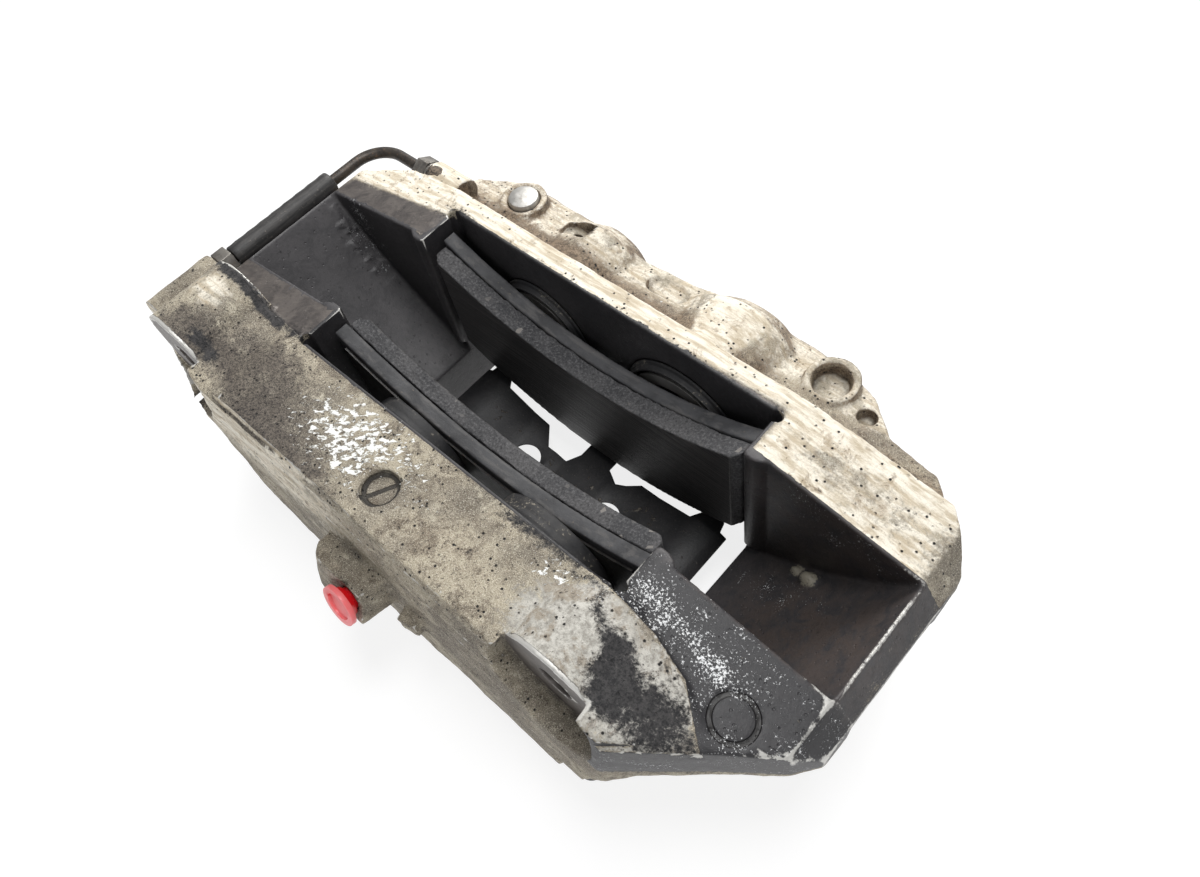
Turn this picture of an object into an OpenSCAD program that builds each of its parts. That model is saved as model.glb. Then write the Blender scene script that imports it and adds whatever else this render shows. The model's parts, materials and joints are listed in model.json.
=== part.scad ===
// Fixed four-piston brake caliper, lying on its outer (window) side with the disc side up.
// X runs along the pads, Y runs across the disc from the inboard to the outboard side.
// The origin is midway between the two mounting lugs, on their machined faces.
// Shapes are drawn about the pad centre, the disc's middle plane and the deck, then moved.

/* [Mounting] */
// Distance between the two mounting lug holes
lug_spacing = 194; // [188:0.5:200]
// Distance from the lug faces to the middle plane of the disc
disc_offset = 68; // [68:0.1:70]
// Distance along X from the middle of the lugs to the middle of the pads
pad_offset = 21; // [19:0.5:23]
// Height of the deck above the centres of the lug holes
deck_height = 13; // [12:0.5:14]
// Radius of the drilled and tapped lug holes
lug_hole_r = 6.25; // [5:0.05:7]
// Depth of the lug holes
lug_hole_depth = 27; // [20:1:28]
// Outer radius of the lugs
lug_r = 20.5; // [19:0.5:22]

/* [Casting] */
// Half length of the casting
body_half_x = 146; // [144:1:150]
// Distance from the deck down to the window side
body_depth = 92; // [91:0.5:95]
// Outermost Y of the inboard half
inboard_y = 80; // [78:0.5:82]
// Outermost Y of the outboard half
outboard_y = 84; // [83:0.5:88]
// Drop of the machined deck at the two ends
end_drop = 11.5; // [10:0.5:13]

/* [Disc and pads] */
// Radius of the trough that clears the rim of the disc
trough_r = 165.2; // [164:0.1:167]
// Height of the disc axis above the deck
disc_axis_z = 76.7; // [76:0.1:78]
// Half width of the trough that the disc turns in
trough_half_y = 22; // [21:0.5:23]
// Half length of the pocket that holds the pads
pocket_half_x = 75.4; // [75:0.1:77]
// Half width of the pocket between the two piston walls
pocket_half_y = 38; // [37.5:0.1:38.5]
// Half length of a backing plate
pad_half_x = 74.5; // [72:0.1:74.6]
// Thickness of a backing plate
plate_t = 6; // [5:0.1:6]
// Thickness of the outboard friction block
friction_out_t = 8; // [4:0.1:8]
// Thickness of the inboard friction block
friction_in_t = 7.4; // [3:0.1:8]
// Distance from the disc's middle plane to the outboard friction face
face_out_y = 20; // [19.5:0.1:20.5]
// Distance from the disc's middle plane to the inboard friction face
face_in_y = 13.8; // [12.5:0.1:14]
// Thickness of an anti-squeal shim
shim_t = 0.8; // [0.5:0.1:1]

/* [Pistons] */
// Radius of the two right-hand cylinder bores
bore_r = 23; // [22:0.5:23.5]
// Radius of the two left-hand cylinder bores, which are smaller
bore_left_r = 19.5; // [18:0.5:21]
// Distance of each piston from the middle of the pads
piston_x = 35; // [34:0.5:37]
// Distance of the piston axes below the deck
piston_drop = 39; // [38:0.5:41]
// Length of a piston
piston_l = 33; // [30:0.5:33]

/* [Fittings] */
// Radius of the crossover pipe
pipe_r = 2.375; // [2:0.125:2.5]
// Outer radius of the rubber sleeve on the pipe
sleeve_r = 4.9; // [4:0.1:5]
// Upward tilt of the hose port, in degrees
port_tilt = 18; // [5:1:20]
// Radius of the flange of the transport plug
plug_flange_r = 7.9; // [6:0.1:8]

/* [Hidden] */
$fn = 96;

// sides: -1 is inboard or left, 1 is outboard or right
inboard = -1;
outboard = 1;
left = -1;
right = 1;
eps = 0.5;

// clearances
bore_fit = 0.05;
press_fit_gap = 0.02;
face_gap = 0.3;

// casting
rim_y = 48.6;
ledge_z = -17;
ledge_drop = 7;
deck_flat_x = 80;
tie_half_y = 30;
cast_deck_z = -2.5;
bore_end = [0, 72, 70];
gallery_y = [0, 72.5, 70.5];
gallery_r = 2;
gallery_end_x = -88;
feed_r = 1.6;
seal_groove_y = 45;
seal_groove_w = 4;
seal_groove_depth = 3;
boot_groove_w = 3.1;
boot_groove_depth = 3.5;
housing_wall = 5.8;
housing_end_y = 73;
housing_taper = 10;

// lugs, given from the middle of the pads
lug_x = [-pad_offset - lug_spacing / 2, -pad_offset + lug_spacing / 2];
lug_back_y = [-34, -50];

// cross bolt
bolt_x = 2;
bolt_z = -85;
bolt_r = 4;
bolt_head_y = outboard_y - 6.5;

// crossover pipe
pipe_x = -body_half_x;
pipe_z = -13;
pipe_y = 54;
pipe_bend = 14;
nut_thread_r = 5;
nut_hex_r = 6.35;
nut_in_y = -33;
nut_out_x = -112;

// hose port
port_x = -14;
port_z = -42;
port_face = 92;
port_r = 4.45;
plug_x = -6.5;

// bleed screws
bleed_x = 82;
bleed_y = [0, 77, 73];
bleed_seat_z = -66;
bleed_r = 4;

// ledge bosses
ledge_boss = [[-75, 70], [75, 70]];
ledge_boss_z = -18;

function side(s) = s == outboard ? 1 : 2;
function bore_at(x) = x < 0 ? bore_left_r : bore_r;

// two-dimensional x, z shape drawn as a solid between y0 and y1
module along_y(y0, y1) {
    translate([0, y1, 0])
        rotate([90, 0, 0])
            linear_extrude(y1 - y0)
                children();
}

// two-dimensional y, z shape drawn as a solid between x0 and x1
module along_x(x0, x1) {
    translate([x0, 0, 0])
        rotate([90, 0, 90])
            linear_extrude(x1 - x0)
                children();
}

// round bar along y
module bar_y(x, z, y0, y1, r) {
    translate([x, y1, z])
        rotate([90, 0, 0])
            cylinder(r = r, h = y1 - y0);
}

// round bar along x
module bar_x(y, z, x0, x1, r) {
    translate([x0, y, z])
        rotate([0, 90, 0])
            cylinder(r = r, h = x1 - x0);
}

// straight drilling from p to q
module drilling(p, q, r) {
    d = q - p;
    translate(p)
        rotate([0, acos(d[2] / norm(d)), atan2(d[1], d[0])])
            cylinder(r = r, h = norm(d));
}

// everything is drawn about the pads and moved to the mounting frame here
module in_mount_frame() {
    translate([pad_offset, disc_offset, deck_height])
        children();
}

// both ends of a shape that is the same left and right
module both_ends() {
    children();
    mirror([1, 0, 0])
        children();
}

/* ---- casting ---- */

// side view of the two halves
module half_profile() {
    slope = [
        [deck_flat_x, 0], [body_half_x - 7, -end_drop], [body_half_x, -22],
        [body_half_x, -32], [106, -36], [92, -52], [82, -80], [79, -body_depth]
    ];
    polygon(concat(slope, [for (i = [len(slope) - 1 : -1 : 0]) [-slope[i][0], slope[i][1]]]));
}

// side view of one of the ties that join the halves past the ends of the disc
module tie_profile() {
    polygon([
        [pocket_half_x, 0], [deck_flat_x, 0], [body_half_x - 7, -end_drop], [body_half_x, -22],
        [body_half_x - 2, -50], [114, -76], [88, -body_depth], [pocket_half_x, -body_depth]
    ]);
}

module inboard_half() {
    intersection() {
        along_y(-inboard_y - 5, -trough_half_y)
            half_profile();
        along_x(-body_half_x - 10, body_half_x + 10)
            polygon([
                [-trough_half_y + eps, 5], [-72, 5], [-74.5, -5], [-76, -12], [-inboard_y, -60],
                [-inboard_y, -84], [-74, -body_depth], [-trough_half_y + eps, -body_depth]
            ]);
        translate([0, 0, -body_depth - 1])
            linear_extrude(body_depth + 5)
                polygon([
                    [-body_half_x, -trough_half_y], [-body_half_x, -56], [-139, -68],
                    [-122, -76], [-96, -inboard_y], [90, -inboard_y], [98, -77], [126, -53],
                    [140, -42], [body_half_x, -34], [body_half_x, -trough_half_y]
                ]);
    }
}

// rough cast deck of the inboard half, a little prouder than the machined ends
module cast_deck() {
    intersection() {
        along_y(-76, -33)
            polygon([
                [-143, -40], [-143, -9], [-138, -6], [-100, 0], [-84, cast_deck_z],
                [48, cast_deck_z], [60, 0], [76, 5.5], [94, 1.5], [118, -7.5], [118, -40]
            ]);
        translate([0, 0, -45])
            linear_extrude(50)
                polygon([
                    [-143, -33], [-pocket_half_x, -pocket_half_y], [60, -pocket_half_y],
                    [76, -40], [92, -41], [106, -45], [118, -52], [118, -58], [99, -74],
                    [-90, -75.5], [-138, -67], [-143, -62]
                ]);
    }
    along_y(-42, -pocket_half_y)
        polygon([[-74, -20], [-74, -1], [-70, 0], [pocket_half_x, 0], [pocket_half_x, -20]]);
    along_y(-49, -46.5)
        polygon([[-74, -20], [-74, -2.5], [-68, -1.3], [40, -1.3], [52, -2.5], [52, -20]]);
}

// lug humps with their machined faces
module lugs() {
    for (i = [0, 1])
        bar_y(lug_x[i], -deck_height, -disc_offset, lug_back_y[i], lug_r);
    translate([lug_x[1], lug_back_y[1], -deck_height])
        rotate([-90, 0, 0])
            cylinder(r1 = lug_r, r2 = 15, h = 13);
    // boss for the crossover pipe, joined to the left lug
    bar_y(pipe_x, pipe_z, -64, nut_in_y, 7.5);
    translate([pipe_x, -63.5, pipe_z - 6])
        cube([lug_x[0] - pipe_x, nut_in_y + 63, 12]);
}

module lug_cuts() {
    for (x = lug_x) {
        bar_y(x, -deck_height, -inboard_y - 10, -disc_offset, lug_r + 0.6);
        bar_y(x, -deck_height, -disc_offset - 1, -disc_offset + lug_hole_depth, lug_hole_r);
    }
}

module outboard_half() {
    intersection() {
        along_y(trough_half_y, outboard_y + 5)
            half_profile();
        along_x(-body_half_x - 10, body_half_x + 10)
            polygon([
                [trough_half_y - eps, 5], [rim_y - 1.5, 5], [rim_y - 1.5, 0], [rim_y, -1.5],
                [rim_y + 1, ledge_z], [outboard_y - 4, ledge_z - ledge_drop],
                [outboard_y, ledge_z - ledge_drop - 4], [outboard_y, -80],
                [outboard_y - 7, -body_depth], [trough_half_y - eps, -body_depth]
            ]);
        translate([0, 0, -body_depth - 1])
            linear_extrude(body_depth + 5)
                polygon([
                    [body_half_x, trough_half_y], [body_half_x, 36], [122, 60], [103, 63],
                    [90, 75], [74, 81], [60, outboard_y], [30, outboard_y], [9, 79], [-13, 77],
                    [-50, 83], [-84, 83], [-103, 70], [-108, rim_y + 1], [-116, rim_y],
                    [-140, 38], [-body_half_x, 30], [-body_half_x, trough_half_y]
                ]);
    }
    // bosses on the ledge, and the boss that the crossover pipe enters
    for (p = ledge_boss)
        translate([p[0], p[1], -40])
            cylinder(r = 10.2, h = 40 + ledge_boss_z);
    bar_x(pipe_y + 0.5, pipe_z - 1.5, nut_out_x, -92, 7.4);
    // cylinder housings show above the ledge, with tapered ends
    for (x = [-piston_x, piston_x]) {
        bar_y(x, -piston_drop, pocket_half_y + 6, housing_end_y, bore_at(x) + housing_wall);
        translate([x, housing_end_y, -piston_drop])
            rotate([-90, 0, 0])
                cylinder(
                    r1 = bore_at(x) + housing_wall,
                    r2 = bore_at(x) + housing_wall - housing_taper,
                    h = housing_taper
                );
    }
}

// small teeth that guide the ends of the pads
module tooth() {
    for (m = [0, 1])
        mirror([0, m, 0])
            translate([0, 0, -64])
                linear_extrude(64)
                    polygon([
                        [pocket_half_x, trough_half_y + eps], [pocket_half_x, 20.6], [76.5, 19.5],
                        [79.5, 19.5], [82, 20.6], [84, trough_half_y + eps]
                    ]);
}

module hose_port_boss() {
    translate([port_x, -70, port_z])
        rotate([-port_tilt, 0, 0]) {
            translate([-6, 70 - port_face, -8.5])
                cube([21, port_face - 72, 17]);
            translate([-6, 79 - port_face, -8.5])
                cylinder(r = 9, h = 17);
            translate([-15, 79 - port_face, -8.5])
                cube([10, port_face - 81, 17]);
        }
    // stub of a broken cast ear beside the port
    translate([8, -inboard_y - 4.5, port_z - 8])
        rotate([0, 8, 12])
            cube([8, 12, 11]);
}

module hose_port_cuts() {
    translate([plug_x, -70, port_z])
        rotate([90 - port_tilt, 0, 0]) {
            translate([0, 0, -6])
                cylinder(r = port_r, h = 40);
            translate([0, 0, port_face - 71])
                cylinder(r = plug_flange_r + 0.3, h = 10);
        }
}

// bores, grooves and the drilled passages behind them
module hydraulic_cuts() {
    for (s = [inboard, outboard]) {
        end_y = bore_end[side(s)];
        for (x = [-piston_x, piston_x]) {
            across(s) {
                bar_y(x, -piston_drop, pocket_half_y - 1, end_y, bore_at(x));
                bar_y(x, -piston_drop, seal_groove_y, seal_groove_y + seal_groove_w,
                    bore_at(x) + seal_groove_depth);
                bar_y(x, -piston_drop, pocket_half_y - 1, pocket_half_y + boot_groove_w,
                    bore_at(x) + boot_groove_depth);
            }
        }
        across(s)
            bar_x(gallery_y[side(s)], -piston_drop, gallery_end_x, bleed_x, gallery_r);
    }
    drilling([gallery_end_x + 2, -gallery_y[2], -piston_drop], [pipe_x, -46, pipe_z], feed_r);
    drilling([gallery_end_x + 2, gallery_y[1], -piston_drop], [-101, pipe_y, pipe_z], feed_r);
    bar_y(pipe_x, pipe_z, -46, nut_in_y + 1, nut_thread_r);
    bar_y(pipe_x, pipe_z, nut_in_y, nut_in_y + 7.5, nut_hex_r + 0.8);
    bar_x(pipe_y, pipe_z, nut_out_x - 1, -100, nut_thread_r);
    bar_x(pipe_y, pipe_z, nut_out_x - 7.5, nut_out_x, nut_hex_r + 0.8);
}

// notch and tapped hole of a bleed screw
module bleed_cuts() {
    for (s = [inboard, outboard])
        translate([bleed_x, s * bleed_y[side(s)], 0]) {
            translate([0, 0, -body_depth - 1])
                cylinder(r = 9, h = body_depth + 1 + bleed_seat_z);
            translate([-9, s > 0 ? 0 : -20, -body_depth - 1])
                cube([40, 20, body_depth + 1 + bleed_seat_z]);
            translate([0, 0, bleed_seat_z - 1])
                cylinder(r = bleed_r, h = -piston_drop - bleed_seat_z + 3);
        }
}

module ledge_cuts() {
    for (p = ledge_boss) {
        translate([p[0], p[1], ledge_boss_z - 7])
            cylinder(r = 6.5, h = 10);
        translate([p[0], p[1], ledge_boss_z - 1])
            cylinder(r = 8, h = 4);
    }
    translate([92, 66, ledge_z - 9])
        cylinder(r = 3.2, h = 12);
    for (x = [-44, 2])
        translate([x, 70, ledge_z - 7])
            linear_extrude(10)
                offset_slot(9, 4.5);
}

// round-ended slot in two dimensions
module offset_slot(half_l, r) {
    square([2 * half_l - 2 * r, 2 * r], center = true);
    for (x = [r - half_l, half_l - r])
        translate([x, 0])
            circle(r = r);
}

// round foundry marks, without lettering
module foundry_marks() {
    translate([122, -44, -10.2])
        difference() {
            cylinder(r = 7.6, h = 12);
            translate([0, 0, -1])
                cylinder(r = 6.1, h = 14);
        }
    translate([-7, -60, cast_deck_z - 0.6])
        difference() {
            cylinder(r = 6.4, h = 4);
            cylinder(r = 5.5, h = 0.6);
            translate([-0.9, -7, 0])
                cube([1.8, 14, 0.6]);
        }
}

// an open run of points from x = 0 to the right, continued to the left
function both_signs(pts) = concat(
    [for (i = [len(pts) - 1 : -1 : 1]) [-pts[i][0], pts[i][1]]],
    pts
);

// mirror a shape drawn for the outboard side onto the inboard side
module across(s) {
    mirror([0, s == outboard ? 0 : 1, 0])
        children();
}

module caliper_body() {
    color([0.62, 0.59, 0.53])
        in_mount_frame()
            difference() {
                union() {
                    difference() {
                        union() {
                            inboard_half();
                            cast_deck();
                            lugs();
                            outboard_half();
                            both_ends()
                                along_y(-tie_half_y, tie_half_y)
                                    tie_profile();
                            hose_port_boss();
                        }
                        // trough for the disc, open up to the deck and above
                        bar_y(0, disc_axis_z, -trough_half_y, trough_half_y, trough_r);
                    }
                    both_ends()
                        tooth();
                }
                // pocket and window, straight through
                translate([-pocket_half_x, -pocket_half_y, -body_depth - 5])
                    cube([2 * pocket_half_x, 2 * pocket_half_y, body_depth + 20]);
                both_ends()
                    for (y = [-pocket_half_y + 1, pocket_half_y - 1])
                        translate([pocket_half_x, y, -body_depth - 5])
                            cylinder(r = 2.2, h = body_depth + 20);
                hydraulic_cuts();
                lug_cuts();
                hose_port_cuts();
                bleed_cuts();
                ledge_cuts();
                foundry_marks();
                // cross bolt
                bar_y(bolt_x, bolt_z, -60, -pocket_half_y + 1, bolt_r);
                bar_y(bolt_x, bolt_z, pocket_half_y - 1, outboard_y + 5, bolt_r + 0.3);
                bar_y(bolt_x, bolt_z, bolt_head_y, outboard_y + 5, 9);
            }
}

/* ---- pistons, seals and boots ---- */

// hollow cup, open towards the pad, with a groove for the dust boot
module piston(s, x) {
    nose_y = s == outboard ? face_out_y + friction_out_t : face_in_y + friction_in_t;
    front = nose_y + plate_t + shim_t + face_gap;
    r = bore_at(x) - bore_fit;
    color([0.56, 0.57, 0.58])
        in_mount_frame()
            across(s)
                translate([x, front, -piston_drop])
                    rotate([-90, 0, 0])
                        rotate_extrude()
                            polygon([
                                [r - 6, 0], [r - 0.8, 0], [r - 0.8, 1.2], [r - 2, 1.6], [r - 2, 4],
                                [r, 4.6], [r, piston_l - 1.5], [r - 1.5, piston_l],
                                [0, piston_l], [0, piston_l - 7], [r - 8, piston_l - 7],
                                [r - 6, piston_l - 9]
                            ]);
}

// square-section seal in its groove
module piston_seal(s, x) {
    color([0.08, 0.08, 0.08])
        in_mount_frame()
            across(s)
                translate([x, seal_groove_y + 0.2, -piston_drop])
                    rotate([-90, 0, 0])
                        rotate_extrude()
                            translate([bore_at(x) - press_fit_gap, 0])
                                square([seal_groove_depth, seal_groove_w - 0.4]);
}

// rubber boot seated in the mouth of the bore
module dust_boot(s, x) {
    inner = bore_at(x) + 0.35;
    outer = bore_at(x) + boot_groove_depth - press_fit_gap;
    color([0.06, 0.06, 0.06])
        in_mount_frame()
            across(s)
                translate([x, pocket_half_y, -piston_drop])
                    rotate([-90, 0, 0])
                        rotate_extrude()
                            polygon([
                                [inner, -2.3], [inner + 1.4, -2.3], [inner + 2.2, -1.5],
                                [outer - 0.4, -0.4], [outer, 0.2], [outer, boot_groove_w - 0.1],
                                [inner + 0.6, boot_groove_w - 0.1], [inner, 1]
                            ]);
}

/* ---- pads ---- */

// side view of a pad, with its concave edge towards the disc's axis
module pad_outline(half_x, inset) {
    top_r = 155;
    foot_r = 150;
    top_z = -24.5 - inset;
    foot_z = -76 + inset;
    difference() {
        intersection() {
            translate([-half_x, -90])
                square([2 * half_x, 90]);
            translate([0, foot_z + foot_r])
                circle(r = foot_r, $fn = 200);
        }
        translate([0, top_z + top_r])
            circle(r = top_r, $fn = 200);
    }
}

module backing_plate(s) {
    y0 = s == outboard ? face_out_y + friction_out_t : face_in_y + friction_in_t;
    color([0.2, 0.19, 0.19])
        in_mount_frame()
            across(s)
                along_y(y0, y0 + plate_t)
                    pad_outline(pad_half_x, 0);
}

// friction block, bevelled at its two ends
module friction_pad(s) {
    y0 = s == outboard ? face_out_y : face_in_y;
    t = s == outboard ? friction_out_t : friction_in_t;
    half_x = pad_half_x - 1;
    color([0.15, 0.14, 0.14])
        in_mount_frame()
            across(s)
                intersection() {
                    along_y(y0, y0 + t)
                        pad_outline(half_x, 0.6);
                    translate([0, 0, -95])
                        linear_extrude(95)
                            polygon([
                                [-half_x, y0 + t], [-half_x, y0 + 2.5], [3 - half_x, y0],
                                [half_x - 3, y0], [half_x, y0 + 2.5], [half_x, y0 + t]
                            ]);
                }
}

// thin shim with an opening behind each piston
module shim(s) {
    y0 = (s == outboard ? face_out_y + friction_out_t : face_in_y + friction_in_t) + plate_t;
    color([0.24, 0.23, 0.22])
        in_mount_frame()
            across(s)
                along_y(y0, y0 + shim_t)
                    difference() {
                        pad_outline(pad_half_x - 4, 4.5);
                        for (x = [-piston_x, piston_x])
                            translate([x, -piston_drop])
                                circle(r = 9);
                    }
}

// stamped spring that bears on the outer edges of both pads
module pad_spring() {
    t = 0.9;
    wing = [[0, -81], [9, -81], [13, -79.6], [34, -79], [54, -74.8], [62, -75.6], [66, -78]];
    line = both_signs(wing);
    half_plan = [
        [9, 36], [9, 18], [16, 14], [20, 16], [25, 20], [50, 20], [54, 26], [62, 26], [63, 22],
        [68, 22]
    ];
    half_left = [
        [-68, 22], [-63, 22], [-62, 26], [-54, 26], [-50, 20], [-25, 18], [-18, 10], [-8, 10],
        [-5, 16], [-5, 36]
    ];
    far_side = concat(half_left, half_plan);
    near_side = [for (i = [len(far_side) - 1 : -1 : 0]) [far_side[i][0], -far_side[i][1]]];
    color([0.05, 0.05, 0.055])
        in_mount_frame()
            difference() {
                intersection() {
                    along_y(-37, 37)
                        polygon(concat(line, [for (i = [len(line) - 1 : -1 : 0]) line[i] + [0, t]]));
                    translate([0, 0, -90])
                        linear_extrude(30)
                            polygon(concat(far_side, near_side));
                }
                for (x = [-22, 22])
                    translate([x, 0, -90])
                        cylinder(r = 6.6, h = 30);
            }
}

// bolt that bridges the window and keeps the pads and spring in
module cross_bolt() {
    color([0.3, 0.3, 0.31])
        in_mount_frame() {
            bar_y(bolt_x, bolt_z, -58, bolt_head_y + 1, bolt_r - press_fit_gap);
            bar_y(bolt_x, bolt_z, bolt_head_y, bolt_head_y + 1, 8.2);
            translate([bolt_x, bolt_head_y + 7.5, bolt_z])
                rotate([90, 0, 0])
                    difference() {
                        cylinder(r = 7.5, h = 6.6, $fn = 6);
                        translate([0, 0, -1])
                            cylinder(r = 3.6, h = 4);
                    }
        }
}

/* ---- hydraulic fittings ---- */

// pipe from the inboard half, round the left end, to the outboard half
module crossover_pipe() {
    corner_y = pipe_y - pipe_bend;
    color([0.12, 0.11, 0.1])
        in_mount_frame() {
            bar_y(pipe_x, pipe_z, -44, corner_y, pipe_r);
            translate([pipe_x + pipe_bend, corner_y, pipe_z])
                rotate([0, 0, 90])
                    rotate_extrude(angle = 90)
                        translate([pipe_bend, 0])
                            circle(r = pipe_r);
            bar_x(pipe_y, pipe_z, pipe_x + pipe_bend, nut_out_x + 11, pipe_r);
        }
}

module pipe_sleeve() {
    color([0.07, 0.07, 0.07])
        in_mount_frame()
            difference() {
                bar_y(pipe_x, pipe_z, -26, 26, sleeve_r);
                bar_y(pipe_x, pipe_z, -27, 27, pipe_r + press_fit_gap);
            }
}

// hexagon nut with its thread, on an axis along +z with the hexagon's top at z = 0
module flare_nut() {
    difference() {
        union() {
            translate([0, 0, -6])
                cylinder(r = nut_hex_r, h = 6, $fn = 6);
            translate([0, 0, -17])
                cylinder(r = nut_thread_r - press_fit_gap, h = 12);
        }
        translate([0, 0, -18])
            cylinder(r = pipe_r + press_fit_gap, h = 20);
    }
}

module flare_nut_inboard() {
    color([0.35, 0.33, 0.3])
        in_mount_frame()
            translate([pipe_x, nut_in_y + 6.2, pipe_z])
                rotate([-90, 0, 0])
                    flare_nut();
}

module flare_nut_outboard() {
    color([0.35, 0.33, 0.3])
        in_mount_frame()
            translate([nut_out_x - 6.2, pipe_y, pipe_z])
                rotate([0, -90, 0])
                    flare_nut();
}

// screw with a hexagon and a hose nipple, pointing down
module bleed_screw(s) {
    color([0.45, 0.43, 0.36])
        in_mount_frame()
            translate([bleed_x, s * bleed_y[side(s)], bleed_seat_z]) {
                difference() {
                    union() {
                        cylinder(r = bleed_r - bore_fit, h = 15);
                        translate([0, 0, 15])
                            cylinder(r1 = bleed_r - bore_fit, r2 = 1.5, h = 3);
                        translate([0, 0, -5.2])
                            cylinder(r = 6.35, h = 5, $fn = 6);
                        translate([0, 0, -0.5])
                            cylinder(r = bleed_r - bore_fit, h = 1);
                        translate([0, 0, -13])
                            cylinder(r = 2.6, h = 8);
                        translate([0, 0, -16])
                            cylinder(r1 = 2.4, r2 = 3.3, h = 3);
                    }
                    translate([0, 0, -17])
                        cylinder(r = 1, h = 26);
                }
            }
}

// rubber cap over the nipple
module bleed_cap(s) {
    color([0.05, 0.05, 0.05])
        in_mount_frame()
            translate([bleed_x, s * bleed_y[side(s)], bleed_seat_z - 5.6])
                rotate([180, 0, 0])
                    rotate_extrude()
                        polygon([
                            [3.6, 0], [5.2, 0], [5.4, 1.5], [4.7, 2.4], [4.7, 11], [4, 12.6],
                            [2, 13.4], [0, 13.6], [0, 11], [3.6, 11]
                        ]);
}

// flanged plastic plug that closes the hose port
module transport_plug() {
    stand_off = 2.8;
    color([0.85, 0.08, 0.08])
        in_mount_frame()
            translate([plug_x, -70, port_z])
                rotate([90 - port_tilt, 0, 0])
                    translate([0, 0, port_face - 71])
                        rotate_extrude()
                            polygon([
                                [0, -10], [3.7, -10], [port_r - 0.3, 0], [port_r - 0.3, 0.4],
                                [5.4, 0.6], [6.4, stand_off], [plug_flange_r, stand_off],
                                [plug_flange_r, stand_off + 1.8], [5.4, stand_off + 1.8],
                                [5.2, stand_off + 0.9], [0, stand_off + 0.9]
                            ]);
}

// metal plug pressed into the left boss on the ledge
module passage_plug() {
    color([0.75, 0.75, 0.74])
        in_mount_frame()
            translate([ledge_boss[0][0], ledge_boss[0][1], ledge_boss_z])
                rotate_extrude()
                    polygon([
                        [0, -6.9], [6.5 - press_fit_gap, -6.9], [6.5 - press_fit_gap, -0.4],
                        [6, 0.5], [3, 1], [0, 1.1]
                    ]);
}

caliper_body();
piston(inboard, left * piston_x);  // piston_inboard_left
piston(inboard, right * piston_x);  // piston_inboard_right
piston(outboard, left * piston_x);  // piston_outboard_left
piston(outboard, right * piston_x);  // piston_outboard_right
piston_seal(inboard, left * piston_x);  // seal_inboard_left
piston_seal(inboard, right * piston_x);  // seal_inboard_right
piston_seal(outboard, left * piston_x);  // seal_outboard_left
piston_seal(outboard, right * piston_x);  // seal_outboard_right
dust_boot(inboard, left * piston_x);  // boot_inboard_left
dust_boot(inboard, right * piston_x);  // boot_inboard_right
dust_boot(outboard, left * piston_x);  // boot_outboard_left
dust_boot(outboard, right * piston_x);  // boot_outboard_right
backing_plate(inboard);  // backing_plate_inboard
backing_plate(outboard);  // backing_plate_outboard
friction_pad(inboard);  // friction_pad_inboard
friction_pad(outboard);  // friction_pad_outboard
shim(inboard);  // shim_inboard
shim(outboard);  // shim_outboard
pad_spring();
cross_bolt();
crossover_pipe();
pipe_sleeve();
flare_nut_inboard();
flare_nut_outboard();
bleed_screw(inboard);  // bleed_screw_inboard
bleed_screw(outboard);  // bleed_screw_outboard
bleed_cap(inboard);  // bleed_cap_inboard
bleed_cap(outboard);  // bleed_cap_outboard
transport_plug();
passage_plug();
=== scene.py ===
"""Looks of a weathered fixed brake caliper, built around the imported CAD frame."""
import json
import math

import bmesh
import bpy
import numpy as np
from mathutils import Euler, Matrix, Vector


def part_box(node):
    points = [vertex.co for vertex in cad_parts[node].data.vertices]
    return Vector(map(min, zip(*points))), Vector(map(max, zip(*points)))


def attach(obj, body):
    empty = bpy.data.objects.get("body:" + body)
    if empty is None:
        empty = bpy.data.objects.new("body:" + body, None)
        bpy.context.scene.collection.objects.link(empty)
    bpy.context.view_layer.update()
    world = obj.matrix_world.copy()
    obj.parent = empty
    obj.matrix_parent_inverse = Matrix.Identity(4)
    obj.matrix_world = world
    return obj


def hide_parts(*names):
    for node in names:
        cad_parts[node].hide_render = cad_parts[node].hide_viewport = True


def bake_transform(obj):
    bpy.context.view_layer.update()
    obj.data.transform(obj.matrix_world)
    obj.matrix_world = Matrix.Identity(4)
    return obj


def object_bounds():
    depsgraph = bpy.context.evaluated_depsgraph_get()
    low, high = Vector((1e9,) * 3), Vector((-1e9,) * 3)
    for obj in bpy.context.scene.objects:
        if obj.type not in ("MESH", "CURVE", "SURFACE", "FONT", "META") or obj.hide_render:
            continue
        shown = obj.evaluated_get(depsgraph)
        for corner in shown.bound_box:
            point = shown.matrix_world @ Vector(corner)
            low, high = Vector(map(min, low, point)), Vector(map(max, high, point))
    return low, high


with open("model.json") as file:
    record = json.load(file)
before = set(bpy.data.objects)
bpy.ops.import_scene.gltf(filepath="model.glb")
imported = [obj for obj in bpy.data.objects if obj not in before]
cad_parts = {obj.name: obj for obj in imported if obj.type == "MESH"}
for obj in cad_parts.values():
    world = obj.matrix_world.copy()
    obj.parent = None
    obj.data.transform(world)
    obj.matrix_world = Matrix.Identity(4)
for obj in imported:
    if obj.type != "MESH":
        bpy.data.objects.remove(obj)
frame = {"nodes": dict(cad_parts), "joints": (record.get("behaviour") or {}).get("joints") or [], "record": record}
cad_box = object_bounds()

MM = 0.001

# ---- places, taken from the frame ----

PLATE_LOW, PLATE_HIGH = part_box("backing_plate_inboard")
SLEEVE_LOW, SLEEVE_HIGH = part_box("pipe_sleeve")
BODY_LOW, BODY_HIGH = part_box("caliper_body")
LUGS = next(m for m in frame["record"]["mounts"] if m["name"] == "mounting_lugs")
LUG_GAP = LUGS["dims"]["spacing_x_mm"]
BODY_DEPTH = 92.0

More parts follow.
